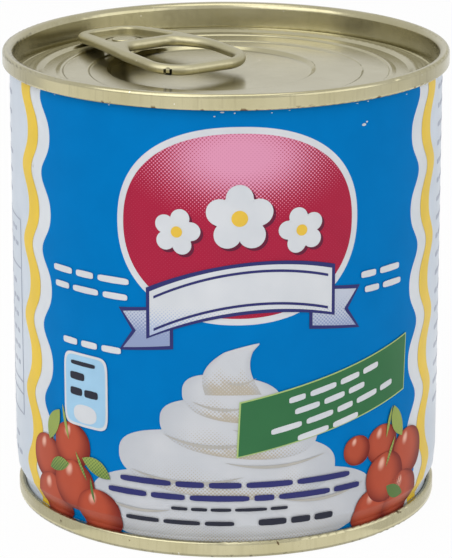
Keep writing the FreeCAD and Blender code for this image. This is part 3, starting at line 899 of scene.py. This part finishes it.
def cherry_ink():
    """Red that darkens to the rim of each fruit, with a small pale glint."""
    material = ink("cherry_ink", (0.47, 0.078, 0.036))
    nodes = material.node_tree.nodes
    links = material.node_tree.links
    local = nodes.new("ShaderNodeUVMap")
    local.uv_map = "UVMap"
    colour = nodes["tone"].outputs["Color"]
    rim = ((0.42, 0.60, 0), 0.20, 0.62, (0.17, 0.014, 0.010))
    glint = ((0.36, 0.72, 0), 0.14, 0.02, (0.78, 0.42, 0.32))
    for centre, near, far, shade in (rim, glint):
        away = nodes.new("ShaderNodeVectorMath")
        away.operation = "DISTANCE"
        away.inputs[1].default_value = centre
        links.new(local.outputs[0], away.inputs[0])
        reach = nodes.new("ShaderNodeMapRange")
        reach.interpolation_type = "SMOOTHSTEP"
        reach.inputs["From Min"].default_value = near
        reach.inputs["From Max"].default_value = far
        links.new(away.outputs["Value"], reach.inputs["Value"])
        colour = blend_into(material, colour, reach.outputs[0], shade)
    return material


def cherry(across, up, radius):
    """Nearly round fruit, cut off where the print ends."""
    patch = oval(across, up, radius * 1.05, radius, columns=16, rows=24, power=2.15)
    for vertex in patch.data.vertices:
        vertex.co.y = max(print_low, vertex.co.y)
    return patch


def leaf(across, up, length, width, turn):
    """Flat pointed leaf turned by this many degrees; a very narrow one is a stalk."""
    patch = square(16, 6)
    spin = math.radians(turn)
    for vertex in patch.data.vertices:
        along = vertex.co.x * length / 2
        half = width / 2 * (1 - abs(vertex.co.x) ** 2.2)
        side = half * vertex.co.y + 0.12 * width * (1 - vertex.co.x ** 2)
        vertex.co.x = across + along * math.cos(spin) - side * math.sin(spin)
        vertex.co.y = up + along * math.sin(spin) + side * math.cos(spin)
    return patch


fruit = cherry_ink()
for index, fruits in enumerate(cherry_layers):
    rolled("ink_cherries_%d" % (index + 1), [cherry(*place) for place in fruits], 6 + 0.5 * index, fruit)
olive = shaded_ink("leaf_ink", (0.30, 0.38, 0.090), (0.10, 0.19, 0.050), 8.0, 19.0)
rolled("ink_leaves", [leaf(*place) for place in leaves], 8.6, olive)
rolled("ink_stalks", [leaf(*place) for place in stalks], 8.9, olive)

# ---- Side panels ---------------------------------------------------------------------------------
# Between the two fronts the sheet has rows of small type, and on one side a ruled table.  They are
# printed in grey, once each, straight on to the two pale panels.
upper_rows = (72.4, 69.0, 65.6, 62.2, 58.8, 55.4)
table_rows = (49.4, 46.9, 39.8, 37.0, 34.2, 31.4, 28.6, 25.8, 12.2, 9.4)
table_left = -67.6
table_right = -46.4
table_low = 17.0
table_top = 51.6
table_split = -54.6          # between its two columns
rule_half = 0.13             # half the thickness of a rule
right_top = 73.8
right_pitch = 3.25
right_count = 18


def rectangle(left, right, low, high, columns, rows):
    """Flat sheet with straight sides."""
    return flat_patch(lambda height: left, lambda height: right, columns, rows, low, high)


grey = ink("grey_ink", (0.36, 0.40, 0.50))
left_rows = [(-68.0, -51.5, up, 0.8, 1.4, 4.6, 0.8) for up in upper_rows]
for up in table_rows:
    left_rows += [(-65.6, -56.5, up, 0.75, 1.4, 4.0, 0.8), (-53.0, -48.2, up, 0.75, 1.4, 3.0, 0.8)]
rolled("ink_left_rows", type_rows(left_rows), 2, grey, both_faces=False)
table = [rectangle(table_left, table_right, up - rule_half, up + rule_half, 30, 1)
         for up in (table_top, 43.0, 22.8, 20.6, table_low)]
table += [rectangle(at - rule_half, at + rule_half, table_low, table_top, 1, 24)
          for at in (table_left, table_split, table_right)]
rolled("ink_table_lines", table, 2.5, grey, both_faces=False)
right_rows = [(46.9, 64.4, right_top - right_pitch * line, 0.85, 1.4, 5.0, 0.8)
              for line in range(right_count)]
rolled("ink_right_rows", type_rows(right_rows), 2, grey, both_faces=False)

# ---- Side weld -----------------------------------------------------------------------------------
# The two edges of the sheet overlap and are welded on the right side.  The print stops short of the
# weld, so a bare strip runs down the wall with a dark line in its middle.
weld_middle = 67.7
strip_half = 1.5
line_half = 0.3
strip_tint = (0.46, 0.45, 0.42)
line_tint = (0.16, 0.155, 0.15)

strip = rectangle(weld_middle - strip_half, weld_middle + strip_half, print_low, print_top, 4, 60)
strip_metal = tinplate("weld_strip_tinplate", strip_tint)[0]
rolled("weld_strip", [strip], 2, strip_metal, both_faces=False)
line = rectangle(weld_middle - line_half, weld_middle + line_half, print_low, print_top, 1, 90)
line_metal = tinplate("weld_line_tinplate", line_tint, rough=(0.40, 0.55))[0]
rolled("weld_line", [line], 3, line_metal, both_faces=False)

# ---- Scuffs --------------------------------------------------------------------------------------
# Small chips where the coat has been knocked off down to bare plate, most of them close under the
# top seam.
knock = random.Random(11)
chip_top = 75.95             # the small chips lie just below this
small_chips = 9
# across, up, half width and half height of each larger one
large_chips = [(22.5, 72.1, 0.42, 0.22), (23.1, 72.5, 0.20, 0.14),
               (-2.0, 75.9, 0.34, 0.12), (-40.2, 62.4, 0.26, 0.24)]

chips = [oval(*place, columns=6, rows=8) for place in large_chips]
for _ in range(small_chips):
    across = knock.uniform(-34, 34)
    up = chip_top - abs(knock.gauss(0, 0.35))
    wide = knock.uniform(0.08, 0.26)
    tall = knock.uniform(0.05, 0.12)
    chips.append(oval(across, up, wide, tall, columns=5, rows=6))
rolled("wall_chips", chips, 2, ink("chip_ink", (0.62, 0.63, 0.62), rough=0.5), both_faces=False)

# ---- Easy-open end -------------------------------------------------------------------------------
# A disc of gold-lacquered tinplate, scored round its edge, beaded and pressed, and seamed on to the
# top of the wall.  Along the lower edge of its seam the lacquer is chipped to brown.
skirt_radius = 37.0          # only the outside of the seam lies beyond this
chipped_tint = (0.10, 0.060, 0.030)


def beyond_radius(material, radius):
    """Factor that is 1 further from the can's axis than this radius in millimetres."""
    nodes = material.node_tree.nodes
    links = material.node_tree.links
    place = nodes.new("ShaderNodeTexCoord")
    flat = nodes.new("ShaderNodeVectorMath")
    flat.operation = "MULTIPLY"
    flat.inputs[1].default_value = (1, 1, 0)
    links.new(place.outputs["Object"], flat.inputs[0])
    reach = nodes.new("ShaderNodeVectorMath")
    reach.operation = "LENGTH"
    links.new(flat.outputs[0], reach.inputs[0])
    past = nodes.new("ShaderNodeMath")
    past.operation = "GREATER_THAN"
    past.inputs[1].default_value = radius / 1000
    links.new(reach.outputs["Value"], past.inputs[0])
    return past.outputs[0]


lid_metal, lid_colour = tinplate("lid_tinplate", tin_tint, rough=(0.15, 0.27))
edge_band = between_heights(lid_metal, low=76.2, high=76.5, soft=0.4)
seam_edge = product(lid_metal, edge_band, beyond_radius(lid_metal, skirt_radius))
edge_flecks = flecks(lid_metal, size=0.0016, start=0.59, end=0.64)
blend_into(lid_metal, lid_colour, product(lid_metal, edge_flecks, seam_edge), chipped_tint)
finish_node("lid", lid_metal)

# ---- Ring tab ------------------------------------------------------------------------------------
# Stamped from thicker lacquered plate with its rim curled under, and held by the rivet of the lid.
# A small slit in the curl, at the near corner of the ring, has painted shade on its inner walls.
slit_place = (-0.00969, -0.00810, 0.07615)
slit_facing = (-0.172, -0.985, 0)
slit_reach = 0.0008
slit_skin = 0.00035          # only the face of the curl stands further out than this
# near black, the painted shade inside the slit
slit_shade_tint = (0.012, 0.011, 0.008)


def painted_slit_shade(material):
    """Factor that is 1 on the walls of the slit, behind the face of the curl, for painted shade."""
    nodes = material.node_tree.nodes
    links = material.node_tree.links
    place = nodes.new("ShaderNodeTexCoord")
    offset = nodes.new("ShaderNodeVectorMath")
    offset.operation = "SUBTRACT"
    offset.inputs[1].default_value = slit_place
    links.new(place.outputs["Object"], offset.inputs[0])
    reach = nodes.new("ShaderNodeVectorMath")
    reach.operation = "LENGTH"
    links.new(offset.outputs[0], reach.inputs[0])
    near = nodes.new("ShaderNodeMapRange")
    near.inputs["From Min"].default_value = slit_reach + 0.00004
    near.inputs["From Max"].default_value = slit_reach - 0.00004
    links.new(reach.outputs["Value"], near.inputs["Value"])
    depth = nodes.new("ShaderNodeVectorMath")
    depth.operation = "DOT_PRODUCT"
    depth.inputs[1].default_value = slit_facing
    links.new(offset.outputs[0], depth.inputs[0])
    behind = nodes.new("ShaderNodeMapRange")
    behind.inputs["From Min"].default_value = slit_skin + 0.00005
    behind.inputs["From Max"].default_value = slit_skin - 0.00005
    links.new(depth.outputs["Value"], behind.inputs["Value"])
    return product(material, near.outputs[0], behind.outputs[0])


tab_metal, tab_colour = tinplate("tab_tinplate", tin_tint, rough=(0.34, 0.46))
# the slit's walls are painted near black as shade
blend_into(tab_metal, tab_colour, painted_slit_shade(tab_metal), slit_shade_tint)
finish_node("pull_tab", tab_metal)
